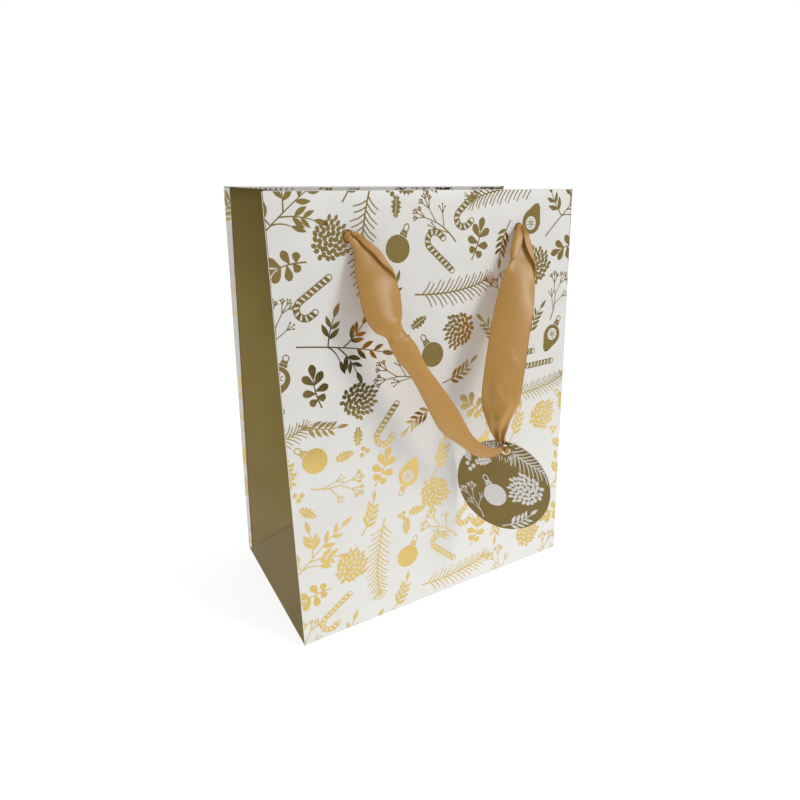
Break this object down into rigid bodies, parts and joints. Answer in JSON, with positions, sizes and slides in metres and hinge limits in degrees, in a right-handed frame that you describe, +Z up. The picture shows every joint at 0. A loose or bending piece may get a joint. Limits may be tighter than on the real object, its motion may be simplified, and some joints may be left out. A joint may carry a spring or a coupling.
{
  "type": "gift bag",
  "caption": "Paper gift bag with pleated gusset sides, turned-in top hem, stiffened base, ribbon handles knotted through punched holes, and a round gift tag on the front ribbon.",
  "frame": {"origin": "centre of the base's underside, on the surface the bag stands on", "axes": "+X to the right seen from the front, -Y out of the front panel, +Z up"},
  "size_m": [0.18, 0.158, 0.2291],
  "materials": {
    "printed_paper": "smooth laminated white art paper with scattered gold foil winter motifs",
    "gold_paper": "solid gold metallic print, satin laminate",
    "stiffener_card": "uncoated white card",
    "base_card": "uncoated grey-white board",
    "satin_ribbon": "golden tan woven satin ribbon, soft sheen",
    "tag_card": "solid gold metallic print with white motifs left bare"
  },
  "bodies": {
    "base": {"base_board": "base_card", "bottom_outer_flap": "printed_paper", "bottom_inner_flap": "printed_paper", "left_dust_flap": "gold_paper", "right_dust_flap": "gold_paper", "left_gusset_foot": "gold_paper", "right_gusset_foot": "gold_paper", "left_gusset_front": "gold_paper", "left_gusset_rear": "gold_paper", "right_gusset_front": "gold_paper", "right_gusset_rear": "gold_paper", "left_gusset_hem": "gold_paper", "right_gusset_hem": "gold_paper", "seam_lap": "printed_paper"},
    "front_panel": {"front_panel": "printed_paper", "front_top_card": "stiffener_card", "front_hem": "printed_paper", "front_left_knot": "satin_ribbon", "front_right_knot": "satin_ribbon"},
    "back_panel": {"back_panel": "printed_paper", "back_top_card": "stiffener_card", "back_hem": "printed_paper", "back_left_knot": "satin_ribbon", "back_right_knot": "satin_ribbon"},
    "front_handle": {"front_ribbon": "satin_ribbon"},
    "tag_loop": {"ribbon_bight": "satin_ribbon"},
    "tag": {"gift_tag": "tag_card"},
    "back_handle": {"back_ribbon": "satin_ribbon"}
  },
  "joints": [
    {"name": "mouth_close", "type": "hinge", "parent": "base", "child": "front_panel", "pos_m": [0, -0.05, 0], "axis": [-1, 0, 0], "range_deg": [-2.5, 5], "stiffness_Nm_per_rad": 0.4, "deforming": ["left_gusset_front", "right_gusset_front", "left_gusset_rear", "right_gusset_rear", "left_gusset_hem", "right_gusset_hem", "seam_lap"]},
    {"name": "back_fold", "type": "hinge", "parent": "base", "child": "back_panel", "pos_m": [0, 0.05, 0], "axis": [1, 0, 0], "range_deg": [-2.5, 5], "stiffness_Nm_per_rad": 0.4},
    {"name": "front_handle_swing", "type": "hinge", "parent": "front_panel", "child": "front_handle", "pos_m": [0, -0.03473, 0.20947], "axis": [-1, 0, 0], "range_deg": [0, 160]},
    {"name": "back_handle_swing", "type": "hinge", "parent": "back_panel", "child": "back_handle", "pos_m": [0, 0.03473, 0.20947], "axis": [1, 0, 0], "range_deg": [0, 160]},
    {"name": "tag_turn", "type": "hinge", "parent": "front_handle", "child": "tag_loop", "pos_m": [0.023, -0.068, 0.098], "axis": [0, 0, 1], "range_deg": [0, 60]},
    {"name": "tag_swing", "type": "hinge", "parent": "tag_loop", "child": "tag", "pos_m": [0.023, -0.068, 0.098], "axis": [-0.866, -0.5, 0], "range_deg": [0, 60]}
  ],
  "couplings": [
    {"joint": "back_fold", "follows": "mouth_close", "ratio": 1}
  ]
}
